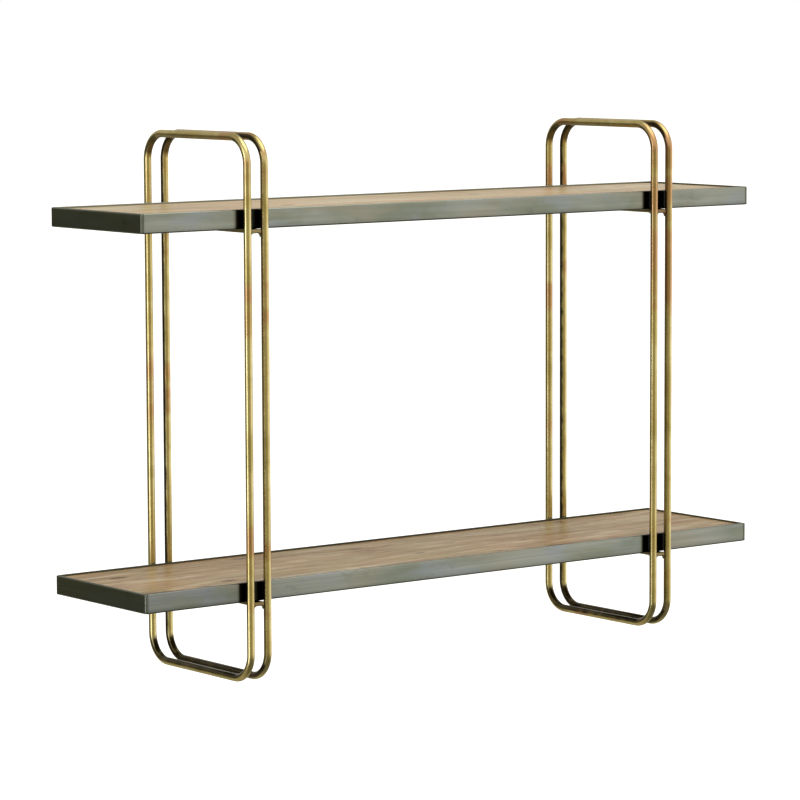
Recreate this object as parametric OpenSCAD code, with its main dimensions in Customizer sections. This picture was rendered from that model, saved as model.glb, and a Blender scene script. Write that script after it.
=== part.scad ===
// Wall shelf: boards in steel tray frames, carried by pairs of closed rod loops.
// Millimetres. +X runs along the shelf, +Y into the wall, +Z up. The wall face is
// y = 0, x = 0 is midway between the brackets, and z = 0 is the underside of the
// upper shelf.

/* [Shelves] */
// Length of each shelf
shelf_w = 1000; // [800:10:1200]
// Depth of each shelf, front to back
shelf_d = 204; // [180:1:260]
// Distance from the lower shelf to the upper one
shelf_pitch = 467; // [300:1:520]
// Height of the steel rails round each board
rail_h = 25; // [22:0.5:32]
// Wall thickness of the rails
rail_t = 3; // [2.5:0.5:4]
// Width of the ledge that the board lies on
ledge_w = 18; // [16:1:26]
// How far the rails stand proud of the board
lip_h = 2; // [1:0.5:4]
// Rounding of the rails' outer edges
edge_r = 2; // [0.5:0.5:2.5]
// Clearance all round the board
board_gap = 0.5; // [0.2:0.1:1.5]

/* [Loops] */
// Diameter of the round rod
rod_d = 10; // [8:0.5:12]
// Clear gap between the two loops of a bracket
pair_gap = 16; // [14:1:22]
// Distance of each bracket from the middle of the shelf
bracket_x = 335; // [260:5:360]
// Gap between the rods and the faces of the shelves
stand_off = 3; // [1:0.5:5]
// Bend radius at the middle of the rod
bend_r = 34; // [20:1:45]
// Height of the loops above the upper shelf
loop_rise = 94; // [70:1:140]
// Depth of the loops below the lower shelf
loop_drop = 104; // [90:1:150]

/* [Straps] */
// Thickness of the straps that the shelves lie on
strap_t = 5; // [4:0.5:6]
// Radius of the weld fillets under the straps
weld_r = 5; // [3:0.5:6]

/* [Wall plates] */
// Thickness of the plates between the rear rods
plate_t = 4; // [3:0.5:5]
// How far each plate reaches over its two rods, in all
plate_lap = 4; // [2:0.5:6]
// Height of the keyhole plates
hanger_h = 32; // [30:1:34]
// How far each keyhole plate hangs below the underside of the upper shelf
hanger_drop = 9; // [6:1:12]
// Diameter of the round end of a keyhole, which a screw head passes
keyhole_d = 9; // [8:0.5:10]
// Width of a keyhole's slot, which a screw shank fits
slot_w = 4.5; // [4:0.5:5.5]
// Height of a keyhole's round end above the underside of the upper shelf
keyhole_z = 6; // [5:0.5:7]
// Rise of a keyhole's slot above its round end
slot_rise = 9; // [8:0.5:9]
// Height of the lower fixing tabs
tab_h = 30; // [24:1:34]
// Diameter of the screw hole in a lower tab
tab_hole_d = 5.5; // [4.5:0.5:6.5]
// Depth of that hole below the underside of the lower shelf
tab_hole_drop = 27; // [24:1:34]

/* [Screws] */
// Shank diameter of the screws that hold the boards down
screw_d = 4; // [3:0.5:4.5]
// Length of the screws under the head
screw_l = 20; // [14:1:24]
// Diameter of the screws' pan heads
screw_head_d = 8; // [7:0.5:9]

/* [Hidden] */
$fn = 64;

BRASS = "#a08a4e";
STEEL = "#7d8078";
OAK = "#b09474";
ZINC = "#a7aaa8";

// Small overshoot that keeps cutting shapes clear of the faces they cut
CUT = 1;

// Places along Y, from the wall outwards
rod_r = rod_d / 2;
rear_rod_y = -rod_r;
back_y = -(rod_d + stand_off);
front_y = back_y - shelf_d;
front_rod_y = front_y - stand_off - rod_r;

// Heights of the shelves' undersides and of the loops' middle lines
upper_z = 0;
lower_z = -shelf_pitch;
loop_top_z = upper_z + rail_h + loop_rise - rod_r;
loop_bottom_z = lower_z - loop_drop + rod_r;

// Half the distance between the middle lines of a bracket's two loops
pair_half = (pair_gap + rod_d) / 2;

// Screws stand in the middle of the front and rear ledges
screw_inset = (rail_t + ledge_w) / 2;
screw_ys = [front_y + screw_inset, back_y - screw_inset];
screw_hole_d = screw_d + 0.5;
board_t = rail_h - rail_t - lip_h;

// How far a strap reaches past the middles of the rods, which at the wall is as far
// as the wall plates
strap_over = rod_r - plate_t;

// How far a strap's weld metal runs back along it, and how far it laps round the rods
weld_reach = 4.5;
weld_lap = 2;

// ---------- rod loops ----------

// One closed loop of round rod, upright across the shelves, middle line at x
module rod_loop(x) {
    loop_d = rear_rod_y - front_rod_y;
    loop_h = loop_top_z - loop_bottom_z;
    run_d = loop_d - 2 * bend_r;
    run_h = loop_h - 2 * bend_r;
    mid_y = (front_rod_y + rear_rod_y) / 2;
    mid_z = (loop_top_z + loop_bottom_z) / 2;
    translate([x, mid_y, mid_z]) {
        for (side = [-1, 1]) {
            translate([0, side * loop_d / 2, -run_h / 2])
                cylinder(h = run_h, d = rod_d);
            translate([0, run_d / 2, side * loop_h / 2])
                rotate([90, 0, 0])
                cylinder(h = run_d, d = rod_d);
        }
        // the four bends, turned about the X axis
        for (quarter = [0:3]) {
            sy = (quarter == 0 || quarter == 3) ? 1 : -1;
            sz = quarter < 2 ? 1 : -1;
            translate([0, sy * run_d / 2, sz * run_h / 2])
                rotate([90 * quarter, 0, 0])
                rotate([90, 0, 90])
                rotate_extrude(angle = 90)
                translate([bend_r, 0])
                circle(d = rod_d);
        }
    }
}

// The two rods of a bracket at depth y, as a cutting shape that leaves a plate's
// edges hollowed to fit them
module rod_pair_cut(y, z_low, z_high) {
    for (side = [-1, 1])
        translate([side * pair_half, y, z_low])
            cylinder(h = z_high - z_low, d = rod_d);
}

module left_outer_loop() { color(BRASS) rod_loop(-bracket_x - pair_half); }
module left_inner_loop() { color(BRASS) rod_loop(-bracket_x + pair_half); }
module right_inner_loop() { color(BRASS) rod_loop(bracket_x - pair_half); }
module right_outer_loop() { color(BRASS) rod_loop(bracket_x + pair_half); }

// ---------- straps welded between the loops ----------

// Weld metal at one end of a strap: fills beside it, and a hollow fillet under it.
// y is the rod's middle, and end points from the rod towards the strap's tip.
module strap_weld(y, end) {
    fill_w = pair_gap / 2 + weld_lap;
    lean = end * (strap_over - weld_reach) / 2;
    depth = strap_over + weld_reach;
    difference() {
        translate([-fill_w, y + lean - depth / 2, -strap_t - weld_r])
            cube([2 * fill_w, depth, strap_t + weld_r]);
        // the round-cornered arch under the strap
        translate([-pair_gap / 2 + weld_r, y - depth, -strap_t - weld_r - CUT])
            cube([pair_gap - 2 * weld_r, 2 * depth, weld_r + CUT]);
        for (side = [-1, 1])
            translate([side * (pair_gap / 2 - weld_r), y, -strap_t - weld_r])
                rotate([90, 0, 0])
                cylinder(h = 3 * depth, r = weld_r, center = true);
        rod_pair_cut(y, -strap_t - weld_r - CUT, CUT);
    }
}

// Flat strap from the front rods to the rear rods, top face on the shelf's underside
module strap(x, z) {
    translate([x, 0, z])
        difference() {
            union() {
                translate([-pair_gap / 2, front_rod_y - strap_over, -strap_t])
                    cube([pair_gap, rear_rod_y - front_rod_y + 2 * strap_over, strap_t]);
                strap_weld(front_rod_y, -1);
                strap_weld(rear_rod_y, 1);
            }
            for (y = screw_ys)
                translate([0, y, -strap_t - CUT])
                    cylinder(h = strap_t + 2 * CUT, d = screw_hole_d);
        }
}

module upper_left_strap() { color(BRASS) strap(-bracket_x, upper_z); }
module upper_right_strap() { color(BRASS) strap(bracket_x, upper_z); }
module lower_left_strap() { color(BRASS) strap(-bracket_x, lower_z); }
module lower_right_strap() { color(BRASS) strap(bracket_x, lower_z); }

// ---------- wall plates between the rear rods ----------

// Plate with its back on the wall and its edges hollowed to the rods
module wall_plate(x, z_low, height) {
    plate_w = pair_gap + plate_lap;
    translate([x, 0, 0])
        difference() {
            translate([-plate_w / 2, -plate_t, z_low])
                cube([plate_w, plate_t, height]);
            rod_pair_cut(rear_rod_y, z_low - CUT, z_low + height + CUT);
            children();
        }
}

// Round hole through a wall plate
module plate_hole(z, d) {
    translate([0, CUT, z])
        rotate([90, 0, 0])
        cylinder(h = plate_t + 2 * CUT, d = d);
}

// Keyhole: a screw head goes in at the round end, and the plate drops onto its shank
module keyhole_plate(x) {
    hole_z = upper_z + keyhole_z;
    wall_plate(x, upper_z - hanger_drop, hanger_h) {
        plate_hole(hole_z, keyhole_d);
        plate_hole(hole_z + slot_rise, slot_w);
        translate([-slot_w / 2, -plate_t - CUT, hole_z])
            cube([slot_w, plate_t + 2 * CUT, slot_rise]);
    }
}

module wall_tab(x) {
    hole_z = lower_z - tab_hole_drop;
    wall_plate(x, hole_z - tab_h / 2, tab_h)
        plate_hole(hole_z, tab_hole_d);
}

module left_keyhole_plate() { color(BRASS) keyhole_plate(-bracket_x); }
module right_keyhole_plate() { color(BRASS) keyhole_plate(bracket_x); }
module left_wall_tab() { color(BRASS) wall_tab(-bracket_x); }
module right_wall_tab() { color(BRASS) wall_tab(bracket_x); }

// ---------- steel tray frames ----------

// What has to come off a square corner at the origin to round it
module corner_trim(r) {
    difference() {
        translate([-CUT, -CUT])
            square(r + CUT);
        translate([r, r])
            circle(r = r);
    }
}

// Angle section: outer face on the first axis, ledge at the bottom, the two outer
// corners rounded
module angle_profile() {
    difference() {
        union() {
            square([rail_t, rail_h]);
            square([ledge_w, rail_t]);
        }
        corner_trim(edge_r);
        translate([0, rail_h])
            mirror([0, 1])
            corner_trim(edge_r);
    }
}

// Long rail between the end rails. Its ledge is cut short to clear theirs.
// outer_y is its outer face, and inward is 1 when the shelf lies on its +Y side.
module long_rail(outer_y, inward, z) {
    leg_l = shelf_w - 2 * rail_t;
    ledge_l = shelf_w - 2 * ledge_w;
    translate([0, outer_y, z])
        mirror([0, inward > 0 ? 0 : 1, 0])
        difference() {
            rotate([90, 0, 90])
                linear_extrude(leg_l, center = true)
                angle_profile();
            for (end = [-1, 1])
                translate([end * (ledge_l / 2 + ledge_w), rail_t + ledge_w, rail_t / 2])
                    cube([2 * ledge_w, 2 * ledge_w, rail_t + 2 * CUT], center = true);
            for (x = [-bracket_x, bracket_x])
                translate([x, screw_inset, -CUT])
                    cylinder(h = rail_t + 2 * CUT, d = screw_hole_d);
        }
}

// Plan of an end rail: a full-depth leg with rounded outer corners, and a ledge that
// stops at the legs of the long rails
module end_rail_plan() {
    difference() {
        translate([0, front_y])
            square([rail_t, shelf_d]);
        translate([0, front_y])
            corner_trim(edge_r);
        translate([0, back_y])
            mirror([0, 1])
            corner_trim(edge_r);
    }
    translate([rail_t / 2, front_y + rail_t])
        square([ledge_w - rail_t / 2, shelf_d - 2 * rail_t]);
}

module left_end_rail(z) {
    translate([-shelf_w / 2, 0, z])
        intersection() {
            translate([0, back_y, 0])
                rotate([90, 0, 0])
                linear_extrude(shelf_d)
                angle_profile();
            linear_extrude(rail_h)
                end_rail_plan();
        }
}

module right_end_rail(z) {
    mirror([1, 0, 0])
        left_end_rail(z);
}

module upper_front_rail() { color(STEEL) long_rail(front_y, 1, upper_z); }
module upper_rear_rail() { color(STEEL) long_rail(back_y, -1, upper_z); }
module upper_left_rail() { color(STEEL) left_end_rail(upper_z); }
module upper_right_rail() { color(STEEL) right_end_rail(upper_z); }
module lower_front_rail() { color(STEEL) long_rail(front_y, 1, lower_z); }
module lower_rear_rail() { color(STEEL) long_rail(back_y, -1, lower_z); }
module lower_left_rail() { color(STEEL) left_end_rail(lower_z); }
module lower_right_rail() { color(STEEL) right_end_rail(lower_z); }

// ---------- boards and their screws ----------

// Board dropped into its frame, with a pilot hole for each screw
module board(z) {
    inset = rail_t + board_gap;
    difference() {
        translate([-shelf_w / 2 + inset, front_y + inset, z + rail_t])
            cube([shelf_w - 2 * inset, shelf_d - 2 * inset, board_t]);
        for (x = [-bracket_x, bracket_x], y = screw_ys)
            translate([x, y, z - strap_t])
                cylinder(h = screw_l, d = screw_d);
    }
}

// Pan-head wood screw, pointing up, with the underside of its head at z = 0
module wood_screw() {
    head_h = screw_head_d * 0.32;
    crown_r = screw_head_d * 0.8;
    slot_t = 1;
    slot_l = screw_head_d * 0.55;
    slot_depth = head_h * 0.55;
    point_l = 4;
    difference() {
        intersection() {
            translate([0, 0, -head_h])
                cylinder(h = head_h, d = screw_head_d);
            translate([0, 0, crown_r - head_h])
                sphere(r = crown_r);
        }
        for (turn = [0, 90])
            rotate([0, 0, turn])
                translate([-slot_l / 2, -slot_t / 2, -head_h - CUT])
                cube([slot_l, slot_t, slot_depth + CUT]);
    }
    cylinder(h = screw_l - point_l, d = screw_d);
    translate([0, 0, screw_l - point_l])
        cylinder(h = point_l, d1 = screw_d, d2 = 0);
}

// The screws of one shelf: through strap and ledge into the board
module board_screws(z) {
    for (x = [-bracket_x, bracket_x], y = screw_ys)
        translate([x, y, z - strap_t])
            wood_screw();
}

module upper_board() { color(OAK) board(upper_z); }
module lower_board() { color(OAK) board(lower_z); }
module upper_board_screws() { color(ZINC) board_screws(upper_z); }
module lower_board_screws() { color(ZINC) board_screws(lower_z); }

left_outer_loop();
left_inner_loop();
right_inner_loop();
right_outer_loop();
upper_left_strap();
upper_right_strap();
lower_left_strap();
lower_right_strap();
left_keyhole_plate();
right_keyhole_plate();
left_wall_tab();
right_wall_tab();
upper_front_rail();
upper_rear_rail();
upper_left_rail();
upper_right_rail();
lower_front_rail();
lower_rear_rail();
lower_left_rail();
lower_right_rail();
upper_board();
lower_board();
upper_board_screws();
lower_board_screws();
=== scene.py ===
# Looks of the wall shelf: two wood boards in welded steel tray frames, carried by
# pairs of closed rod loops in antique brass. Metres, in the part's own frame: +X runs
# along the shelf, +Y into the wall, +Z up.

import math

import bpy
import numpy as np
from mathutils import Matrix, Vector


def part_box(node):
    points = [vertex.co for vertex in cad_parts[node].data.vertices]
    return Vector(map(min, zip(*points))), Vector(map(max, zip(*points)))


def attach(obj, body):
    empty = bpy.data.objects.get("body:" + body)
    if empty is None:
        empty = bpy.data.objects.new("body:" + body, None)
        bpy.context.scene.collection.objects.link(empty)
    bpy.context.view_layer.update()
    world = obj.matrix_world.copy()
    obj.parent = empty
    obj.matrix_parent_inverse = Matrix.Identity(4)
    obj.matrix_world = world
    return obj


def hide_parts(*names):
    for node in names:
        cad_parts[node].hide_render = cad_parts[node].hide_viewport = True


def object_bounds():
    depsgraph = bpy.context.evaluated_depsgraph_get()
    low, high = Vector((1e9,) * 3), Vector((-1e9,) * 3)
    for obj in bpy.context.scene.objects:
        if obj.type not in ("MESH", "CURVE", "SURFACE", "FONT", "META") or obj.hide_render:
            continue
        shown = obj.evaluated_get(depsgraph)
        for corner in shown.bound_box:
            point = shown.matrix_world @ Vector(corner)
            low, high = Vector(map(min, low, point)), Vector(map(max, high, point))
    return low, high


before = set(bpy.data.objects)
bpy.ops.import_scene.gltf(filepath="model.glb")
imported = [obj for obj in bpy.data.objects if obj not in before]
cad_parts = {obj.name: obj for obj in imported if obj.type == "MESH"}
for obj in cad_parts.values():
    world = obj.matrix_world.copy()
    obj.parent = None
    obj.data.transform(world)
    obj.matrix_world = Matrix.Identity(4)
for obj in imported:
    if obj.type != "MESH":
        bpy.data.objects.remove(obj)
cad_low, cad_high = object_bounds()

MM = 0.001

# Rod loops: their sizes, how far a bend is flattened and the rod is uneven as shares of
# its radius, and the reach of the weld mark
ROD_R = 5 * MM
BEND_R = 34 * MM
ROD_SIDES = 40
RING_STEP = 8 * MM
BEND_RINGS = 26
BEND_FLATNESS = 0.035
ROD_UNEVENNESS = 0.004
LOOP_WELD = 3 * MM

# Dark patina and painted shade on the rods, 0 to 1: patina and painted shade inside the
# bends and under the top runs, painted shade over the bottom runs below the lower board, and
# painted shade between the rods of a pair, on their front runs and elsewhere
BEND_PATINA_AND_SHADE = 0.85
TOP_PATINA_AND_SHADE = 0.55
BOTTOM_RUN_SHADE = 0.95
FRONT_PAIR_SHADE = 0.45
OTHER_PAIR_SHADE = 0.97

# The painted shade on the back of a front run beside a strap, which blackens the rod's
# reflection in the rail, is centred this far above the strap, full to one distance from there
# and gone at the other
STRAP_SHADE_RISE = 16 * MM
STRAP_SHADE_FULL = 26 * MM
STRAP_SHADE_END = 40 * MM

# Steel angle of the tray frames
RAIL_T = 3 * MM
LEDGE_W = 18 * MM
ARRIS_R = 2 * MM
TOE_R = 0.5 * MM
ROOT_R = 0.8 * MM
CORNER_R = 2.8 * MM
SEAM_CHAMFER = 0.4 * MM
SCREW_HOLE_R = 2.25 * MM
LONG_RAIL_STEP = 3 * MM
END_RAIL_STEP = 10 * MM
# wear and painted highlight: the reach of the lightening along the arrises
WEAR_HIGHLIGHT_REACH = 1.7 * MM
SEAM_REACH = 0.9 * MM
# painted shade: the reach of the dark line along the bottom arris
BOTTOM_SHADE_REACH = 2.2 * MM

# Painted shade: a dark line painted along the lip of one rail, and how much darker
# another is painted towards its left end, from one distance left of the middle to another
LIP_SHADE = {"lower_rear_rail": 0.85}
LEFT_END_SHADE = {"lower_front_rail": 0.22}
LEFT_SHADE_FROM = 0.15
LEFT_SHADE_TO = 0.42

# Painted shade: black patches painted on the front rails behind the rods, standing in for
# the rods' shade and dark reflection there: how dark, how far they reach past the rods at
# the left and at the right, and how soft their ends are
ROD_SHADE_DARKNESS = 0.93
ROD_SHADE_REACH = 10 * MM
ROD_SHADE_PAST = 5 * MM
ROD_SHADE_FADE = 4 * MM

# Boards: the steps of their meshes along, across and underneath, the depths of their
# relief, how long a knot is beside its width, and how dark they are painted underneath, as
# shade, and along the front edge, 0 to 1
ALONG_STEP = 4 * MM
ACROSS_STEP = 1 * MM
UNDER_STEP = 6 * MM
BOARD_EASE = 1.3 * MM
GRAIN_DEPTH = 0.13 * MM
SWELL_DEPTH = 0.12 * MM
CRACK_DEPTH = 0.9 * MM
KNOT_DEPTH = 0.1 * MM
KNOT_STRETCH = 2.6
UNDER_SHADE = 0.62
FRONT_EDGE_DARKNESS = 0.40
SPOT_DARKNESS = 0.85

# Straps, wall plates and their welds
STRAP_WELD_W = 4 * MM
STRAP_WELD_FADE = 3 * MM
STRAP_T = 5 * MM
LUMP_H = 0.25 * MM
PLATE_LAP = 2 * MM
BEAD_R = 1.5 * MM
BEAD_RIPPLE = 1.5 * MM
BEAD_SINK = 0.2 * MM
BEAD_STEP = 0.5 * MM
BEAD_SIDES = 16

# Screws
SCREW_HEAD_R = 4 * MM
SCREW_EDGE = 0.12 * MM

LOOPS = ["left_outer_loop", "left_inner_loop", "right_inner_loop", "right_outer_loop"]
SHADED_LOOPS = ["left_inner_loop", "right_outer_loop"]
STRAPS = ["upper_left_strap", "upper_right_strap", "lower_left_strap", "lower_right_strap"]
WALL_PLATES = ["left_keyhole_plate", "right_keyhole_plate", "left_wall_tab", "right_wall_tab"]
SCREWS = ["upper_board_screws", "lower_board_screws"]


# ---------- shader writing ----------


class Nodes:
    """Writes shader nodes into a tree. Values are numbers, colours or sockets."""

    def __init__(self, tree):
        self.tree = tree
        self.tree.nodes.clear()

    def add(self, kind, settings, inputs, output=0):
        node = self.tree.nodes.new(kind)
        for key, value in settings.items():
            setattr(node, key, value)
        for key, value in inputs.items():
            if isinstance(value, bpy.types.NodeSocket):
                self.tree.links.new(value, node.inputs[key])
            else:
                node.inputs[key].default_value = value
        return node.outputs[output]

    def fit(self, value, low, high, to_low=0.0, to_high=1.0):
        """Value from low to high, mapped smoothly to to_low..to_high and held there."""
        inputs = {"Value": value, "From Min": low, "From Max": high,
                  "To Min": to_low, "To Max": to_high}
        return self.add("ShaderNodeMapRange", {"interpolation_type": "SMOOTHSTEP"}, inputs)

    def maths(self, operation, a, b=0.0):
        return self.add("ShaderNodeMath", {"operation": operation}, {0: a, 1: b})

    def mix(self, fac, a, b):
        return self.add("ShaderNodeMix", {"data_type": "RGBA"}, {0: fac, 6: a, 7: b}, 2)

    def output(self, kind, shader):
        node = self.tree.nodes.new(kind)
        self.tree.links.new(shader, node.inputs["Surface"])


class Shader(Nodes):
    """Writes one material."""

    def __init__(self, name):
        self.material = bpy.data.materials.new(name)
        self.material.use_nodes = True
        super().__init__(self.material.node_tree)

    def place(self):
        return self.add("ShaderNodeTexCoord", {}, {}, "Object")

    def attribute(self, name, output="Fac"):
        return self.add("ShaderNodeAttribute", {"attribute_name": name}, {}, output)

    def scaled(self, vector, scale):
        return self.add("ShaderNodeVectorMath", {"operation": "MULTIPLY"}, {0: vector, 1: scale})

    def shifted(self, vector, shift):
        return self.add("ShaderNodeVectorMath", {"operation": "ADD"}, {0: vector, 1: shift})

    def noise(self, vector, detail=3.0, roughness=0.5, distortion=0.0):
        inputs = {"Vector": vector, "Scale": 1.0, "Detail": detail,
                  "Roughness": roughness, "Distortion": distortion}
        return self.add("ShaderNodeTexNoise", {}, inputs)

    def bump(self, height, distance, normal=None):
        inputs = {"Height": height, "Distance": distance, "Strength": 1.0}
        if normal is not None:
            inputs["Normal"] = normal
        return self.add("ShaderNodeBump", {}, inputs)

    def finish(self, inputs):
        self.output("ShaderNodeOutputMaterial", self.add("ShaderNodeBsdfPrincipled", {}, inputs))
        return self.material


def colour(red, green, blue):
    """A colour given as it looks on screen, 0 to 255, as linear light."""
    def linear(value):
        value /= 255
        return value / 12.92 if value <= 0.04045 else ((value + 0.055) / 1.055) ** 2.4
    return (linear(red), linear(green), linear(blue), 1.0)


# ---------- materials ----------


def steel(name, stretch, bands, age_and_shade):
    """Patinated steel, brushed along one axis. stretch and bands are the scales along X, Y
    and Z of its fine streaks and of its broad ones. The last argument darkens it, from 0 to
    1, as age and as painted shade, for the shaded end rails. The mesh stores how far each
    arris is lightened, as wear and as painted highlight; how far weld seams darken it, and
    painted shade along the bottom arris and the lip; and where it is painted black, as shade
    behind the rods."""
    s = Shader(name)
    place = s.place()
    clouds = s.noise(s.scaled(place, (6, 9, 15)), 3, 0.5, 0.5)
    drift = s.noise(s.shifted(s.scaled(place, (9, 9, 20)), (3, 7, 1)), 3, 0.55, 0.4)
    streaks = s.noise(s.scaled(place, stretch), 4, 0.6)
    broad = s.noise(s.scaled(place, bands), 3, 0.55, 0.2)
    specks = s.noise(s.scaled(place, (420, 420, 420)), 2, 0.6)
    dark_spots = s.noise(s.shifted(s.scaled(place, (30, 30, 60)), (1, 2, 9)), 4, 0.65)

    base = s.mix(s.fit(clouds, 0.36, 0.62), colour(129, 134, 116), colour(153, 154, 141))
    base = s.mix(s.fit(drift, 0.48, 0.66, 0, 0.7), base, colour(148, 152, 157))
    base = s.mix(s.fit(drift, 0.34, 0.50, 0.6, 0), base, colour(152, 143, 124))
    base = s.mix(s.fit(broad, 0.34, 0.62, 0.26, 0.0), base, colour(118, 122, 108))
    base = s.mix(s.fit(broad, 0.55, 0.74, 0.0, 0.22), base, colour(178, 178, 170))
    base = s.mix(s.fit(streaks, 0.30, 0.70, 0.16, 0.0), base, colour(104, 105, 94))
    base = s.mix(s.fit(dark_spots, 0.58, 0.74, 0, 0.25 + 0.4 * age_and_shade), base, colour(84, 76, 58))
    base = s.mix(s.fit(specks, 0.66, 0.78, 0, 0.25), base, colour(88, 80, 64))
    # age and painted shade: darkens the whole material, most for the shaded end rails
    base = s.mix(age_and_shade, base, colour(76, 80, 58))
    # wear and painted highlight: lighter along the rounded arrises
    base = s.mix(s.maths("MULTIPLY", s.attribute("wear_and_highlight"), 0.22), base, colour(190, 190, 180))
    # dark weld seams, and painted shade along the bottom arris and the lip
    base = s.mix(s.attribute("seam_and_shade"), base, colour(40, 36, 26))
    # painted shade: black behind the rods on the front rails, darker towards one left end
    base = s.mix(s.attribute("painted_shade"), base, colour(16, 13, 9))

    rough = s.fit(streaks, 0.25, 0.75, 0.16, 0.22)
    rough = s.maths("ADD", rough, s.fit(clouds, 0.35, 0.65, 0.05, 0.0))
    relief = s.bump(streaks, 0.000002)
    relief = s.bump(s.noise(s.scaled(place, (24, 24, 36)), 1), 0.00006, relief)
    return s.finish({"Base Color": base, "Metallic": 1.0, "Roughness": rough, "Normal": relief})


def brass(name, lines, age_and_shade):
    """Antique brass under thin lacquer. lines names what its fine polishing lines follow:
    the attribute that unrolls a rod, or none for flat bar. The last argument darkens it, from
    0 to 1, as age and as painted shade, for the shaded straps and plates. The mesh stores
    where weld metal darkens it, and for a rod, where it is dark with patina and painted shade."""
    s = Shader(name)
    place = s.place()
    if lines:
        fine = s.noise(s.scaled(s.attribute(lines, "Vector"), (25, 1500, 1500)), 3, 0.6)
    else:
        fine = s.noise(s.scaled(place, (900, 30, 900)), 3, 0.6)
    patches = s.noise(s.scaled(place, (9, 13, 13)), 4, 0.62, 0.8)
    copper = s.noise(s.shifted(s.scaled(place, (7, 11, 11)), (5, 2, 8)), 3, 0.55)
    olive = s.noise(s.shifted(s.scaled(place, (9, 16, 16)), (1, 8, 3)), 3, 0.55)
    spots = s.noise(s.scaled(place, (150, 150, 150)), 3, 0.6)

    base = s.mix(s.fit(patches, 0.36, 0.62), colour(206, 183, 114), colour(228, 209, 148))
    base = s.mix(s.fit(copper, 0.50, 0.62, 0, 0.85), base, colour(202, 152, 104))
    base = s.mix(s.fit(olive, 0.54, 0.68, 0, 0.5), base, colour(176, 161, 92))
    base = s.mix(s.fit(fine, 0.30, 0.70, 0.12, 0.0), base, colour(140, 120, 70))
    base = s.mix(s.fit(spots, 0.64, 0.78, 0, 0.4), base, colour(112, 88, 50))
    # age and painted shade: darkens the whole material, for the shaded straps and plates
    base = s.mix(age_and_shade, base, colour(92, 76, 44))
    # patina and painted shade: dark inside bends and runs, behind front runs, between paired rods
    base = s.mix(s.attribute("patina_and_shade"), base, colour(30, 24, 15))
    base = s.mix(s.maths("MULTIPLY", s.attribute("seam_and_shade"), 0.7), base, colour(66, 44, 28))

    rough = s.fit(patches, 0.35, 0.65, 0.26, 0.19)
    rough = s.maths("ADD", rough, s.fit(fine, 0.3, 0.7, 0.03, 0.0))
    relief = s.bump(fine, 0.000002)
    relief = s.bump(s.noise(s.scaled(place, (60, 60, 60)), 2), 0.00004, relief)
    return s.finish({"Base Color": base, "Metallic": 1.0, "Roughness": rough, "Normal": relief,
                     "Coat Weight": 0.2, "Coat Roughness": 0.12})


def wood(name, age_and_shade):
    """Weathered softwood, browner, duller, darker and more marked as the last argument grows,
    from 0 to 1, as age and as painted shade, for the shaded lower board. grain_space is the
    place along and across the grain, which flows round the knots; knot is 1 inside a knot,
    crack is 1 in a crack, and a fourth value is 1 where the board is darker: along its front
    edge, and as painted shade on its underside."""
    s = Shader(name)
    place = s.place()
    grain = s.attribute("grain_space", "Vector")
    bands = s.noise(s.scaled(grain, (1.3, 62, 30)), 3, 0.55, 0.3)
    mottle = s.noise(s.scaled(grain, (9, 66, 20)), 7, 0.66, 0.4)
    dashes = s.noise(s.shifted(s.scaled(grain, (20, 170, 50)), (2, 6, 4)), 3, 0.6)
    streaks = s.noise(s.scaled(grain, (5, 330, 120)), 4, 0.6)
    pores = s.noise(s.scaled(grain, (38, 1500, 600)), 2, 0.6)
    zones = s.noise(s.scaled(place, (5.2, 9, 4)), 3, 0.55, 0.4)
    flames = s.noise(s.shifted(s.scaled(place, (5, 20, 8)), (7, 3, 5)), 6, 0.62, 0.5)
    bleach = s.noise(s.shifted(s.scaled(grain, (4.1, 22, 9)), (4, 4, 4)), 4, 0.6)

    base = s.mix(s.fit(zones, 0.40, 0.60), colour(201, 172, 128), colour(190, 175, 130))
    base = s.mix(s.fit(flames, 0.50, 0.64, 0, 0.60), base, colour(204, 154, 114))
    base = s.mix(s.fit(flames, 0.36, 0.47, 0.50, 0), base, colour(174, 164, 120))
    base = s.mix(s.fit(bands, 0.42, 0.64, 0.0, 0.5), base, colour(166, 126, 80))
    # age and painted shade: browns and darkens the lower board, shaded by the upper one
    base = s.mix(0.46 * age_and_shade, base, colour(150, 112, 56))
    base = s.mix(s.fit(mottle, 0.50, 0.64, 0.0, 0.36 + 0.40 * age_and_shade), base, colour(142, 99, 60))
    base = s.mix(s.fit(mottle, 0.34, 0.47, 0.40 + 0.20 * age_and_shade, 0.0), base, colour(222, 202, 166))
    base = s.mix(s.fit(streaks, 0.50, 0.72, 0.0, 0.55), base, colour(136, 102, 70))
    base = s.mix(s.fit(bleach, 0.50, 0.70, 0.0, 0.55), base, colour(218, 204, 174))
    base = s.mix(s.fit(dashes, 0.58, 0.70, 0.0, 0.30 + 0.55 * age_and_shade), base, colour(112, 76, 46))
    base = s.mix(s.fit(pores, 0.60, 0.74, 0.0, 0.5), base, colour(104, 78, 54))
    base = s.mix(s.attribute("knot"), base, colour(92, 54, 30))
    # darker along the front edge, and painted shade on the underside
    base = s.mix(s.attribute("darkening_and_shade"), base, colour(58, 42, 26))
    base = s.mix(s.attribute("crack"), base, colour(44, 30, 20))

    rough = s.fit(streaks, 0.3, 0.7, 0.32, 0.44)
    relief = s.bump(streaks, 0.00012)
    relief = s.bump(pores, -0.00008, relief)
    return s.finish({"Base Color": base, "Roughness": rough, "Normal": relief,
                     "Specular IOR Level": 0.5 - 0.25 * age_and_shade})


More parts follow.
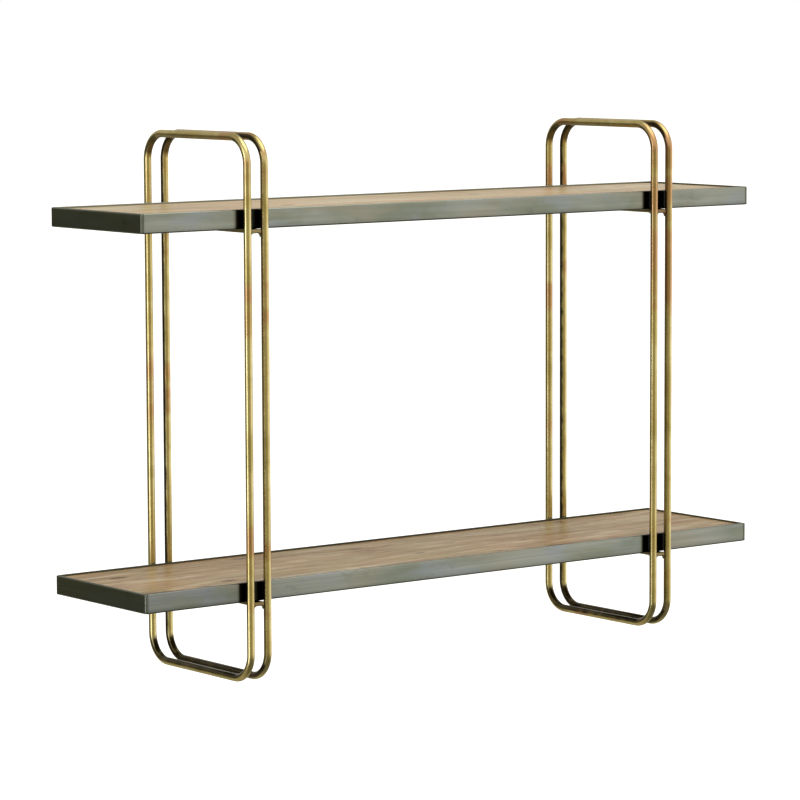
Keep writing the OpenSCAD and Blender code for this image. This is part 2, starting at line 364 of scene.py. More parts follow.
def zinc():
    """Zinc plate, with the faint yellow and blue of its passivation."""
    s = Shader("zinc_plate")
    place = s.place()
    tint = s.noise(s.scaled(place, (260, 260, 260)), 3, 0.6)
    grime = s.noise(s.scaled(place, (900, 900, 900)), 2, 0.6)
    base = s.mix(s.fit(tint, 0.40, 0.62), colour(206, 204, 190), colour(190, 198, 206))
    base = s.mix(s.fit(grime, 0.58, 0.74, 0, 0.6), base, colour(118, 114, 104))
    rough = s.fit(grime, 0.3, 0.7, 0.26, 0.42)
    return s.finish({"Base Color": base, "Metallic": 1.0, "Roughness": rough,
                     "Normal": s.bump(grime, 0.00002)})


# ---------- mesh tools ----------


def new_object(name, vertices, faces):
    mesh = bpy.data.meshes.new(name)
    mesh.from_pydata([tuple(v) for v in vertices], [], faces)
    mesh.validate()
    obj = bpy.data.objects.new(name, mesh)
    bpy.context.scene.collection.objects.link(obj)
    return obj


def apply_modifiers(obj):
    """Turns an object's modifiers into its mesh."""
    graph = bpy.context.evaluated_depsgraph_get()
    mesh = bpy.data.meshes.new_from_object(obj.evaluated_get(graph))
    obj.modifiers.clear()
    obj.data = mesh


def places(mesh):
    """The mesh's vertices as an array."""
    flat = np.zeros(len(mesh.vertices) * 3)
    mesh.vertices.foreach_get("co", flat)
    return flat.reshape(-1, 3)


def put_places(mesh, at):
    mesh.vertices.foreach_set("co", at.ravel())
    mesh.update()


def put_values(mesh, name, values):
    """Stores one number per vertex for the material."""
    layer = mesh.attributes.new(name, "FLOAT", "POINT")
    layer.data.foreach_set("value", np.asarray(values, dtype=np.float32))


def put_vectors(mesh, name, vectors, domain="POINT"):
    layer = mesh.attributes.new(name, "FLOAT_VECTOR", domain)
    layer.data.foreach_set("vector", np.asarray(vectors, dtype=np.float32).ravel())


def dress(obj, material, node, sharp=35):
    """Gives a new piece its shading, finish and place in the part."""
    mesh = obj.data
    mesh.materials.clear()
    mesh.materials.append(material)
    mesh.shade_smooth()
    mesh.set_sharp_from_angle(angle=math.radians(sharp))
    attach(obj, "root")
    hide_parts(node)


def keep_flat(obj):
    """Shades flat faces flat right up to their rounded edges."""
    weighted = obj.modifiers.new("flat_faces", "WEIGHTED_NORMAL")
    weighted.keep_sharp = True


def cut(obj, cutters):
    """Takes the cutters out of an object."""
    for cutter in cutters:
        boolean = obj.modifiers.new("cut", "BOOLEAN")
        boolean.operation = "DIFFERENCE"
        boolean.solver = "EXACT"
        boolean.object = cutter
    apply_modifiers(obj)
    for cutter in cutters:
        bpy.data.objects.remove(cutter)


def skin(rings, sides):
    """Faces of a solid made of rings of vertices, with a cap at each end."""
    faces = []
    for i in range(rings - 1):
        for j in range(sides):
            k = (j + 1) % sides
            faces.append((i * sides + j, i * sides + k, (i + 1) * sides + k, (i + 1) * sides + j))
    faces.append(tuple(range(sides))[::-1])
    faces.append(tuple(range((rings - 1) * sides, rings * sides)))
    return faces


def block(low, high):
    """Box, for cutting a notch."""
    corners = [(x, y, z) for x in (low[0], high[0]) for y in (low[1], high[1])
               for z in (low[2], high[2])]
    sides = [(0, 1, 3, 2), (4, 6, 7, 5), (0, 4, 5, 1), (2, 3, 7, 6), (0, 2, 6, 4), (1, 5, 7, 3)]
    return new_object("cutter", corners, sides)


def upright_pin(x, y, low, high, radius, sides=32):
    """Upright cylinder, for cutting a hole."""
    turns = [2 * math.pi * i / sides for i in range(sides)]
    ring = [(x + radius * math.cos(t), y + radius * math.sin(t)) for t in turns]
    corners = [(a, b, low) for a, b in ring] + [(a, b, high) for a, b in ring]
    return new_object("cutter", corners, skin(2, sides))


def arc(centre, radius, start, end, steps):
    """Points of an arc, angles in degrees, both ends included."""
    angles = np.radians(np.linspace(start, end, steps + 1))
    return [(centre[0] + radius * math.cos(a), centre[1] + radius * math.sin(a)) for a in angles]


def step_up(value, low, high):
    """0 below low, 1 above high and smooth between, for arrays."""
    t = np.clip((value - low) / (high - low), 0, 1)
    return t * t * (3 - 2 * t)


def ripples(rng, count, slowest, fastest):
    """A smooth random function of (along, across), from -1 to 1 or so, made of sines.
    slowest and fastest are its ripples per metre across."""
    fast = rng.uniform(slowest, fastest, count)
    slow = rng.uniform(-1, 1, count) * 0.02 * fast
    phase = rng.uniform(0, 2 * math.pi, count)
    weight = rng.uniform(0.4, 1.0, count) / math.sqrt(count)

    def height(along, across):
        total = np.zeros(np.broadcast(along, across).shape)
        for f, s, p, w in zip(fast, slow, phase, weight):
            total += w * np.sin(2 * math.pi * (f * across + s * along) + p)
        return total
    return height


# ---------- rod loops ----------


def loop_stations(half_y, half_z):
    """Rings round a loop: bend centre or the run between two, outward angle, how far
    into a bend it is (0 to 1), each as an array."""
    signs = [(1, 1), (-1, 1), (-1, -1), (1, -1)]
    centres = [(sy * (half_y - BEND_R), sz * (half_z - BEND_R)) for sy, sz in signs]
    base, angle, bend = [], [], []
    for k in range(4):
        before, after = np.array(centres[k - 1]), np.array(centres[k])
        rings = round(np.linalg.norm(after - before) / RING_STEP)
        for i in range(rings):
            base.append(before + (after - before) * i / rings)
            angle.append(k * math.pi / 2)
            bend.append(0.0)
        for i in range(BEND_RINGS):
            base.append(after)
            angle.append((k + i / BEND_RINGS) * math.pi / 2)
            bend.append(math.sin(math.pi * i / BEND_RINGS))
    return np.array(base), np.array(angle), np.array(bend)


def rod_patina_and_shade(at, turn, outward, bend, blotches, shaded):
    """How dark each place on a loop is with patina and painted shade: the inner side of its
    bends and of its top run, patina and painted shade; the inner side of its bottom run,
    painted shade under the lower board; and the inner side of its front run beside each
    strap, painted shade that blackens its reflection in the rail. A shaded loop also has
    painted shade on the side that faces its neighbour, though less on its front run. 0 to 1,
    per vertex."""
    inner = step_up(-np.cos(turn)[None, :] + 0.12 * blotches, -0.15, 0.25)
    near = np.zeros(at.shape[:2])
    for low, high in [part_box(name) for name in STRAPS]:
        from_strap = np.abs(at[:, :, 2] - (low.z + high.z) / 2 - STRAP_SHADE_RISE)
        near = np.maximum(near, 1 - step_up(from_strap, STRAP_SHADE_FULL, STRAP_SHADE_END))
    front = outward[:, None, 0] < -0.9
    top = outward[:, None, 1] > 0.9
    bottom = outward[:, None, 1] < -0.9
    strength = BEND_PATINA_AND_SHADE * step_up(bend, 0.10, 0.70)[:, None] * np.ones_like(near)
    strength = np.maximum(strength, np.where(front, near, 0))
    strength = np.maximum(strength, np.where(top, TOP_PATINA_AND_SHADE, 0))
    strength = np.maximum(strength, np.where(bottom, BOTTOM_RUN_SHADE, 0))
    dark = strength * inner
    if shaded:
        facing = step_up(-np.sin(turn)[None, :] + 0.05 * blotches, 0.66, 0.86)
        dark = np.maximum(dark, np.where(front, FRONT_PAIR_SHADE, OTHER_PAIR_SHADE) * facing)
    return (dark * (0.94 + 0.06 * blotches)).clip(0, 1).ravel()


def rod_loop(node, material, seed):
    """Closed loop of round rod, a little flattened on the outside of its bends and very
    slightly uneven along its length."""
    low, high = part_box(node)
    middle = (low + high) / 2
    base, angle, bend = loop_stations((high.y - low.y) / 2 - ROD_R, (high.z - low.z) / 2 - ROD_R)
    outward = np.stack([np.cos(angle), np.sin(angle)], 1)
    line = base + outward * BEND_R
    rings = len(line)
    steps = np.linalg.norm(np.roll(line, -1, 0) - line, axis=1)
    run = np.concatenate([[0], np.cumsum(steps)])

    rng = np.random.default_rng(seed)
    uneven = np.clip(ripples(rng, 9, 4, 30)(0.0, run[:-1]), -1, 1)
    thickness = ROD_R * (1 - ROD_UNEVENNESS * (1 + uneven))
    turn = 2 * math.pi * np.arange(ROD_SIDES) / ROD_SIDES
    outer_side = np.cos(turn)[None, :] > 0
    out_part = np.cos(turn)[None, :] * (1 - BEND_FLATNESS * bend[:, None] * outer_side)
    side_part = np.broadcast_to(np.sin(turn), out_part.shape)
    at = np.zeros((rings, ROD_SIDES, 3))
    at[:, :, 0] = middle.x + thickness[:, None] * side_part
    at[:, :, 1] = middle.y + line[:, None, 0] + thickness[:, None] * out_part * outward[:, None, 0]
    at[:, :, 2] = middle.z + line[:, None, 1] + thickness[:, None] * out_part * outward[:, None, 1]

    faces, unrolled = [], []
    around = [(ROD_R * math.cos(t), ROD_R * math.sin(t)) for t in turn]
    for i in range(rings):
        after = (i + 1) % rings
        for j in range(ROD_SIDES):
            k = (j + 1) % ROD_SIDES
            faces.append((i * ROD_SIDES + j, i * ROD_SIDES + k,
                          after * ROD_SIDES + k, after * ROD_SIDES + j))
            unrolled += [(run[i], *around[j]), (run[i], *around[k]),
                         (run[i + 1], *around[k]), (run[i + 1], *around[j])]
    obj = new_object(node.replace("_loop", "_rod_loop"), at.reshape(-1, 3), faces)
    put_vectors(obj.data, "rod_space", unrolled, "CORNER")

    blotches = ripples(rng, 12, 10, 60)(turn[None, :] / 40, run[:-1, None])
    patina_and_shade = rod_patina_and_shade(at, turn, outward, bend, blotches, node in SHADED_LOOPS)
    put_values(obj.data, "patina_and_shade", patina_and_shade)

    # the dressed weld that closes the loop, in the middle of the bottom run
    from_weld = np.hypot(line[:, 0], line[:, 1] + (high.z - low.z) / 2 - ROD_R)
    weld = 0.6 * np.exp(-(from_weld / LOOP_WELD) ** 2)
    put_values(obj.data, "seam_and_shade", np.repeat(weld, ROD_SIDES))
    dress(obj, material, node, 80)


# ---------- steel rails ----------


def angle_section(height):
    """Outline of the angle, as (in from the outer face, up from the underside)."""
    return (
        arc((ARRIS_R, ARRIS_R), ARRIS_R, 180, 270, 6)
        + arc((LEDGE_W - TOE_R, TOE_R), TOE_R, -90, 0, 3)
        + arc((LEDGE_W - TOE_R, RAIL_T - TOE_R), TOE_R, 0, 90, 3)
        + arc((RAIL_T + ROOT_R, RAIL_T + ROOT_R), ROOT_R, 270, 180, 3)
        + arc((RAIL_T - TOE_R, height - TOE_R), TOE_R, 0, 90, 3)
        + arc((ARRIS_R, height - ARRIS_R), ARRIS_R, 90, 180, 6)
        + [(0, height - 3 * ARRIS_R), (0, 3 * ARRIS_R)]
    )


def sweep_section(name, stations, place):
    """Solid through a list of outlines. place(distance, outline) gives the vertices."""
    vertices = []
    for distance, outline in stations:
        vertices += place(distance, outline)
    return new_object(name, vertices, skin(len(stations), len(stations[0][1])))


def squeezed(outline, outer, ends, height):
    """The outline with its outer face moved in by outer, and its top and bottom by ends."""
    moved = []
    for a, b in outline:
        new_a = max(a, outer) if a < RAIL_T / 2 else a
        new_b = min(max(b, ends), height - ends)
        moved.append((new_a, new_b))
    return moved


def rounding(radius, distance):
    """How far a quarter-round of this radius has dropped at a distance from its end."""
    if distance >= radius:
        return 0.0
    return radius - math.sqrt(radius ** 2 - (radius - distance) ** 2)


def end_distances(length, fine, step):
    """Distances along a rail, close together near both ends."""
    middle = list(np.linspace(fine[-1], length - fine[-1], round(length / step)))
    return list(fine[:-1]) + middle + [length - d for d in reversed(fine[:-1])]


def painted_shade_at(x, left_end_shade):
    """Painted shade on the front rails: black behind the rods of each bracket, standing in for
    their shade and dark reflection, and darker towards the left end by the second argument."""
    # painted shade: darker towards the left end
    depth = left_end_shade * step_up(-x, LEFT_SHADE_FROM, LEFT_SHADE_TO)
    for side in ("left", "right"):
        outer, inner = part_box(f"{side}_outer_loop"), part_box(f"{side}_inner_loop")
        start = min(outer[0].x, inner[0].x) - ROD_SHADE_REACH
        end = max(outer[1].x, inner[1].x) + ROD_SHADE_PAST
        inside = step_up(x, start, start + ROD_SHADE_FADE) * (1 - step_up(x, end - ROD_SHADE_FADE, end))
        # painted shade: black behind this bracket's rods
        depth = np.maximum(depth, ROD_SHADE_DARKNESS * inside)
    return depth


def rail_values(obj, low, high, outer, axis, lip_shade=0.0, left_end_shade=0.0):
    """Arrises lightened as wear and as painted highlight; dark lines of the corner welds;
    painted shade along the bottom arris and, where given, along the lip; and on the front
    rails, painted shade behind the rods and, where given, towards the left end. outer is the
    outer face's place on the axis across the rail, and axis is 0 for a rail along X."""
    at = places(obj.data)
    across = np.abs(at[:, 1 - axis] - outer)
    from_top = high.z - at[:, 2]
    from_bottom = at[:, 2] - low.z
    from_end = np.minimum(at[:, axis] - low[axis], high[axis] - at[:, axis])
    edge = np.minimum(from_top, from_bottom)
    if axis == 1:
        edge = np.minimum(edge, from_end)
    # wear and painted highlight along the outer arrises
    wear_and_highlight = np.exp(-((across + edge) / WEAR_HIGHLIGHT_REACH) ** 2)
    put_values(obj.data, "wear_and_highlight", wear_and_highlight)
    seam_and_shade = 0.9 * np.exp(-(from_end / SEAM_REACH) ** 2) if axis == 0 else np.zeros(len(at))
    # painted shade: a dark line along the bottom arris
    seam_and_shade = np.maximum(seam_and_shade, 0.7 * np.exp(-((from_bottom + across) / BOTTOM_SHADE_REACH) ** 2))
    # painted shade: a dark line along the top of the lip, where given
    seam_and_shade = np.maximum(seam_and_shade, lip_shade * (1 - step_up(from_top, 0.1 * MM, 1.2 * MM)))
    put_values(obj.data, "seam_and_shade", seam_and_shade)
    # painted shade behind the rods and towards the left end, on the front rails only
    shade = painted_shade_at(at[:, 0], left_end_shade) if "front" in obj.name else np.zeros(len(at))
    put_values(obj.data, "painted_shade", shade)


def ledge_span(outer, inward):
    """Where the ledge lies beyond the leg, from low to high, on the axis across the rail."""
    leg, tip = outer + inward * RAIL_T, outer + inward * (LEDGE_W + RAIL_T)
    return min(leg, tip), max(leg, tip)


def ledge_notch(low_x, low_y, high_x, high_y, underside):
    """Cutter that takes the ledge away over a stretch."""
    return block((low_x, low_y, underside - RAIL_T), (high_x, high_y, underside + 2 * RAIL_T))


def long_rail(node, material, screw_spots):
    """Front or rear rail: its leg reaches the end rails, and its ledge stops at theirs."""
    low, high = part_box(node)
    height = high.z - low.z
    inward = 1 if "front" in node else -1
    outer = low.y if inward > 0 else high.y
    outline = angle_section(height)

    def place(distance, points):
        return [(low.x + distance, outer + inward * a, low.z + b) for a, b in points]

    fine = [0, SEAM_CHAMFER, 3 * SEAM_CHAMFER, 4 * MM]
    stations = []
    for d in end_distances(high.x - low.x, fine, LONG_RAIL_STEP):
        from_end = min(d, high.x - low.x - d)
        chamfer = max(0.0, SEAM_CHAMFER - from_end)
        stations.append((d, squeezed(outline, chamfer, chamfer, height)))
    obj = sweep_section(node.replace("_rail", "_steel_rail"), stations, place)

    ledge_end = LEDGE_W - RAIL_T
    y_low, y_high = ledge_span(outer, inward)
    cutters = [
        ledge_notch(low.x - RAIL_T, y_low, low.x + ledge_end, y_high, low.z),
        ledge_notch(high.x - ledge_end, y_low, high.x + RAIL_T, y_high, low.z),
    ]
    for x, y in screw_spots:
        if abs(y - outer) < LEDGE_W:
            cutters.append(upright_pin(x, y, low.z - RAIL_T, low.z + 2 * RAIL_T, SCREW_HOLE_R))
    if inward < 0:
        obj.data.flip_normals()
    cut(obj, cutters)
    rail_values(obj, low, high, outer, 0, LIP_SHADE.get(node, 0.0), LEFT_END_SHADE.get(node, 0.0))
    dress(obj, material, node)
    keep_flat(obj)


def end_rail(node, material):
    """End rail: its leg runs the full depth, with dressed corners, and its ledge stops at
    the legs of the long rails."""
    low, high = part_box(node)
    height = high.z - low.z
    inward = 1 if "left" in node else -1
    outer = low.x if inward > 0 else high.x
    outline = angle_section(height)

    def place(distance, points):
        return [(outer + inward * a, low.y + distance, low.z + b) for a, b in points]

    fine = [0, 0.1 * MM, 0.35 * MM, 0.75 * MM, 1.3 * MM, 2 * MM, CORNER_R, 5 * MM]
    stations = []
    for d in end_distances(high.y - low.y, fine, END_RAIL_STEP):
        from_end = min(d, high.y - low.y - d)
        drop_out, drop_up = rounding(ARRIS_R, from_end), rounding(CORNER_R, from_end)
        stations.append((d, squeezed(outline, drop_out, drop_up, height)))
    obj = sweep_section(node.replace("_rail", "_steel_rail"), stations, place)

    x_low, x_high = ledge_span(outer, inward)
    cutters = [ledge_notch(x_low, y - RAIL_T, x_high, y + RAIL_T, low.z) for y in (low.y, high.y)]
    if inward > 0:
        obj.data.flip_normals()
    cut(obj, cutters)
    rail_values(obj, low, high, outer, 1)
    dress(obj, material, node)
    keep_flat(obj)


# ---------- boards ----------


def graded(low, high, step, fine):
    """Places from low to high, close together near both ends."""
    count = max(2, round((high - low - 2 * fine[-1]) / step))
    middle = list(np.linspace(low + fine[-1], high - fine[-1], count + 1))
    return np.array([low + f for f in fine[:-1]] + middle + [high - f for f in reversed(fine[:-1])])


def eased(distance):
    """Drop of a board's eased edge at a distance from it, as an array."""
    inside = np.clip(BOARD_EASE - distance, 0, BOARD_EASE)
    return BOARD_EASE - np.sqrt(BOARD_EASE ** 2 - inside ** 2)


def grain_flow(x, y, knots):
    """Place across the grain, which parts round each knot, and how deep in a knot."""
    across = y.copy()
    inside = np.zeros_like(x)
    for kx, ky, radius in knots:
        dx, dy = (x - kx) / KNOT_STRETCH, y - ky
        distance = np.hypot(dx, dy) + 1e-9
        outside = np.maximum(distance, radius)
        across -= dy * (radius / outside) ** 2 * 0.96
        ring = np.clip(1 - distance / radius, 0, 1)
        across += ring * radius * 1.4
        inside = np.maximum(inside, np.clip(ring * 3, 0, 1))
    return across, inside


def cracks_at(x, y, cracks):
    """1 in the middle of a crack, falling to 0 at its sides and ends."""
    depth = np.zeros_like(x)
    for cx, cy, length, width in cracks:
        wander = 0.8 * MM * np.sin((x - cx) * 190) + 0.5 * MM * np.sin((x - cx) * 430 + 1)
        along = np.clip(1 - np.abs(x - cx) / (length / 2), 0, 1)
        side = np.abs(y - cy - wander) / (width / 2)
        depth = np.maximum(depth, np.sqrt(along) * np.clip(1.4 - side, 0, 1))
    return depth


def front_darkening_at(x, from_front, dark_spots, ragged):
    """Darker along the front edge: faint all along, deep and dark at each (x, half-length,
    reach) of the given spots."""
    depth = FRONT_EDGE_DARKNESS * (1 - step_up(from_front + 4 * MM * ragged, 8 * MM, 20 * MM))
    for place, half, reach in dark_spots:
        near = 1 - step_up(np.abs(x - place), 0.3 * half, half)
        deep = SPOT_DARKNESS * (1 - step_up(from_front + 3 * MM * ragged, 0.3 * reach, reach))
        depth = np.maximum(depth, near * deep)
    return depth


def board(node, material, knots, cracks, dark_spots, seed):
    """Board with eased edges, raised grain, knots, cracks and a darker front edge with dark spots
    on its top face, and an underside darkened as painted shade. Knots, cracks and spots are
    placed from the board's middle."""
    low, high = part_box(node)
    mid_x, mid_y = (low.x + high.x) / 2, (low.y + high.y) / 2
    knots = [(mid_x + x, mid_y + y, radius) for x, y, radius in knots]
    cracks = [(mid_x + x, mid_y + y, length, width) for x, y, length, width in cracks]
    dark_spots = [(mid_x + x, half, reach) for x, half, reach in dark_spots]
    rng = np.random.default_rng(seed)
    fine = [0, 0.08 * MM, 0.3 * MM, 0.7 * MM, BOARD_EASE]
    xs = graded(low.x, high.x, ALONG_STEP, fine)
    ys = graded(low.y, high.y, ACROSS_STEP, fine)
    under_ys = graded(low.y, high.y, UNDER_STEP, fine)
    coarse, middling = ripples(rng, 8, 8, 40), ripples(rng, 22, 60, 240)
    swell = ripples(rng, 6, 1, 5)
    ragged = ripples(rng, 10, 12, 70)

    def surface(rows, top):
        x, y = np.meshgrid(xs, rows)
        across, inside = grain_flow(x, y, knots if top else [])
        edge = np.minimum(np.minimum(x - low.x, high.x - x), np.minimum(y - low.y, high.y - y))
        relief = 0.5 + 0.25 * middling(x, across) + 0.15 * coarse(x, across)
        drop = GRAIN_DEPTH * (1 - np.clip(relief, 0, 1)) + SWELL_DEPTH * (1 + swell(x, y)) / 2
        crack = cracks_at(x, y, cracks if top else [])
        drop += CRACK_DEPTH * crack + KNOT_DEPTH * inside
        drop = drop * np.clip(edge / BOARD_EASE, 0, 1) + eased(edge)
        z = high.z - drop if top else low.z + drop
        points = np.stack([x, y, z], -1).reshape(-1, 3)
        flow = np.stack([x, across, z], -1).reshape(-1, 3)
        # painted shade: the underside is darkened all over
        darkening_and_shade = np.full_like(x, UNDER_SHADE)
        if top:
            darkening_and_shade = front_darkening_at(x, y - low.y, dark_spots, ragged(y, x))
        return points, flow, inside.ravel(), crack.ravel(), darkening_and_shade.ravel()

    top = surface(ys, True)
    under = surface(under_ys, False)
    points, flow, inside, crack, darkening_and_shade = (np.concatenate(pair) for pair in zip(top, under))

    wide, rows, under_rows = len(xs), len(ys), len(under_ys)
    start = wide * rows
    faces = []
    for r in range(rows - 1):
        for c in range(wide - 1):
            a = r * wide + c
            faces.append((a, a + 1, a + wide + 1, a + wide))
    for r in range(under_rows - 1):
        for c in range(wide - 1):
            a = start + r * wide + c
            faces.append((a, a + wide, a + wide + 1, a + 1))
    last_top, last_under = (rows - 1) * wide, start + (under_rows - 1) * wide
    for c in range(wide - 1):
        faces.append((start + c, start + c + 1, c + 1, c))
        faces.append((last_under + c + 1, last_under + c, last_top + c, last_top + c + 1))
    for c in (0, wide - 1):
        up = [r * wide + c for r in range(rows)]
        down = [start + r * wide + c for r in range(under_rows)]
        ring = up + down[::-1]
        faces.append(tuple(ring if c == 0 else ring[::-1]))

    obj = new_object(node.replace("_board", "_wood_board"), points, faces)
    put_vectors(obj.data, "grain_space", flow)
    put_values(obj.data, "knot", inside)
    put_values(obj.data, "crack", np.clip(crack, 0, 1))
    put_values(obj.data, "darkening_and_shade", np.clip(darkening_and_shade, 0, 1))
    dress(obj, material, node, 50)


# ---------- straps and wall plates ----------


def weld_bead(x, y, low, high, radius):
    """Upright bead of weld metal with the ripples of its laying."""
    steps = max(6, round((high - low) / BEAD_STEP))
    vertices = []
    for i in range(steps + 1):
        t = i / steps
        height = low + (high - low) * t
        swell = 0.86 + 0.14 * abs(math.sin(math.pi * (height - low) / BEAD_RIPPLE))
        taper = math.sqrt(max(0.05, 1 - abs(2 * t - 1) ** 6))
        for j in range(BEAD_SIDES):
            a = 2 * math.pi * j / BEAD_SIDES
            r = radius * swell * taper
            vertices.append((x + r * math.cos(a), y + r * math.sin(a), height))
    return new_object("bead", vertices, skin(steps + 1, BEAD_SIDES))


def join_facets(obj):
    """Joins the separate facets of a CAD mesh at their corners."""
    weld = obj.modifiers.new("weld", "WELD")
    weld.merge_threshold = 0.001 * MM


def blended(node, name, extras, voxel, rounds):
    """One blended solid made of a CAD node's shape and some extra shapes."""
    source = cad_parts[node]
    obj = bpy.data.objects.new(name, source.data.copy())
    bpy.context.scene.collection.objects.link(obj)
    join_facets(obj)
    for extra in extras:
        union = obj.modifiers.new("union", "BOOLEAN")
        union.operation = "UNION"
        union.solver = "EXACT"
        union.object = extra
    remesh = obj.modifiers.new("remesh", "REMESH")
    remesh.mode = "VOXEL"
    remesh.voxel_size = voxel
    smooth = obj.modifiers.new("smooth", "SMOOTH")
    smooth.factor = 0.5
    smooth.iterations = rounds
    apply_modifiers(obj)
    for extra in extras:
        bpy.data.objects.remove(extra)
    return obj


def strap(node, material, seed):
    """Flat bar with its welds: rounded by hand dressing, uneven where the weld metal is."""
    low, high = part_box(node)
    obj = blended(node, node.replace("_strap", "_brass_strap"), [], 0.7 * MM, 3)
    at = places(obj.data)
    rng = np.random.default_rng(seed)
    lumps = ripples(rng, 12, 150, 520)
    from_end = np.minimum(at[:, 1] - low.y, high.y - at[:, 1])
    welded = np.clip(1 - (from_end - STRAP_WELD_W) / STRAP_WELD_FADE, 0, 1)
    under = np.clip((high.z - STRAP_T - 0.5 * MM - at[:, 2]) / (1.5 * MM), 0, 1)
    at[:, 2] += LUMP_H * welded * under * lumps(at[:, 1] * 40, at[:, 0])
    put_places(obj.data, at)
    put_values(obj.data, "seam_and_shade", 0.9 * welded * np.clip(0.6 + under, 0, 1))
    dress(obj, material, node, 60)


def wall_plate(node, material):
    """Plate between the rear rods, with a weld bead down each rod."""
    low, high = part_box(node)
    middle = (low.x + high.x) / 2
    bead_x = (high.x - low.x) / 2 - PLATE_LAP - BEAD_SINK
    bead_y = low.y - BEAD_SINK
    beads = [weld_bead(middle + side * bead_x, bead_y, low.z + 2 * MM, high.z - 2 * MM, BEAD_R)
             for side in (-1, 1)]
    obj = blended(node, node.replace("_plate", "_brass_plate").replace("_tab", "_brass_tab"),
                  beads, 0.4 * MM, 2)
    at = places(obj.data)
    at[:, 1] = np.minimum(at[:, 1], high.y)
    put_places(obj.data, at)
    proud = np.clip((low.y - at[:, 1]) / (0.5 * MM), 0, 1)
    put_values(obj.data, "seam_and_shade", 0.6 * proud)
    dress(obj, material, node, 60)


def finish_screws(node, material):
    """The CAD screws, with their edges softened."""
    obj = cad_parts[node]
    join_facets(obj)
    bevel = obj.modifiers.new("bevel", "BEVEL")
    bevel.width = SCREW_EDGE
    bevel.segments = 2
    bevel.angle_limit = math.radians(40)
    obj.data.materials.clear()
    obj.data.materials.append(material)


# ---------- the object ----------

# End rails, straps and plates and the lower board get darker copies: age and painted shade
rod_brass = brass("antique_brass_rod", "rod_space", 0.0)
bar_brass = brass("antique_brass_bar_shaded", None, 0.55)
long_steel = steel("patinated_steel_long", (10, 1300, 1300), (3.5, 190, 190), 0.0)
end_steel = steel("patinated_steel_end_shaded", (1300, 10, 1300), (190, 7, 190), 0.64)
upper_wood = wood("weathered_wood_upper", 0.0)
lower_wood = wood("weathered_wood_lower_shaded", 1.0)
screw_zinc = zinc()

for index, name in enumerate(LOOPS):
    rod_loop(name, rod_brass, 10 + index)

for level in ("upper", "lower"):
    screw_low, screw_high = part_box(f"{level}_board_screws")
    spots = [(x, y) for x in (screw_low.x + SCREW_HEAD_R, screw_high.x - SCREW_HEAD_R)
             for y in (screw_low.y + SCREW_HEAD_R, screw_high.y - SCREW_HEAD_R)]
    for side in ("front", "rear"):
        long_rail(f"{level}_{side}_rail", long_steel, spots)
    for side in ("left", "right"):
        end_rail(f"{level}_{side}_rail", end_steel)

# Knots as (x, y, radius), cracks as (x, y, length, width), dark spots along the front
# edge as (x, half-length, reach)
lower_knots = [(-0.444, 0.043, 6 * MM), (-0.232, 0.079, 5 * MM), (-0.060, 0.053, 4 * MM),
               (-0.016, -0.029, 4 * MM), (0.168, -0.087, 6 * MM), (0.314, 0.081, 4 * MM),
               (-0.350, -0.065, 5 * MM)]
lower_cracks = [(0.185, -0.091, 0.10, 1.6 * MM), (-0.440, 0.045, 0.05, 1.0 * MM)]
lower_dark_spots = [(-0.478, 0.040, 30 * MM), (-0.390, 0.022, 24 * MM), (0.175, 0.035, 20 * MM)]
upper_knots = [(-0.227, -0.026, 5 * MM), (0.120, 0.025, 4 * MM), (0.402, 0.055, 5 * MM)]
upper_cracks = [(-0.225, -0.024, 0.04, 0.8 * MM)]
board("lower_board", lower_wood, lower_knots, lower_cracks, lower_dark_spots, 3)
board("upper_board", upper_wood, upper_knots, upper_cracks, [], 4)

for index, name in enumerate(STRAPS):
    strap(name, bar_brass, 30 + index)
for name in WALL_PLATES:
    wall_plate(name, bar_brass)
for name in SCREWS:
    finish_screws(name, screw_zinc)


# ---------- floor, light and camera ----------

WHITE = (1, 1, 1, 1)

# The floor's depth below the object, its half-width and its glow
FLOOR_DROP = 0.45
FLOOR_REACH = 60.0
FLOOR_GLOW = 0.6


def make_floor():
    """Pale floor. The object doesn't reflect it, so it casts no tint."""
    s = Shader("pale_floor")
    mottle = s.noise(s.scaled(s.place(), (3, 3, 3)), 3)
    base = s.mix(s.fit(mottle, 0.3, 0.7), colour(246, 246, 245), colour(250, 250, 249))
    material = s.finish({"Base Color": base, "Roughness": 0.9, "Specular IOR Level": 0.2,
                         "Emission Color": WHITE, "Emission Strength": FLOOR_GLOW})
    material.cycles.emission_sampling = "NONE"
    z = cad_low.z - FLOOR_DROP
    r = FLOOR_REACH
    floor = new_object("floor", [(-r, -r, z), (r, -r, z), (r, r, z), (-r, r, z)], [(0, 1, 2, 3)])
    floor.data.materials.append(material)
    floor.visible_glossy = False
    floor.visible_diffuse = False


# The light all round at eye level: bearing in degrees (0 is -Y, 90 is +X), strength, and
# its colour as (green, blue) beside a red of 1
AROUND = [
    (-180, 0.28, (0.98, 0.80)),
    (-160, 0.20, (0.99, 0.76)),
    (-140, 0.16, (1.00, 0.74)),
    (-104, 0.06, (1.00, 0.74)),
    (-76, 0.30, (0.98, 0.76)),
    (-58, 0.44, (0.96, 0.68)),
    (-34, 0.36, (0.95, 0.56)),
    (-6, 0.38, (0.95, 0.56)),
    (12, 0.58, (0.98, 0.76)),
    (28, 0.92, (1.00, 0.98)),
    (44, 1.14, (1.00, 1.00)),
    (108, 1.10, (1.00, 1.00)),
    (142, 0.95, (1.00, 1.00)),
    (162, 0.55, (1.00, 0.95)),
    (180, 0.28, (0.98, 0.80)),
]
BRIGHTEST = 1.2

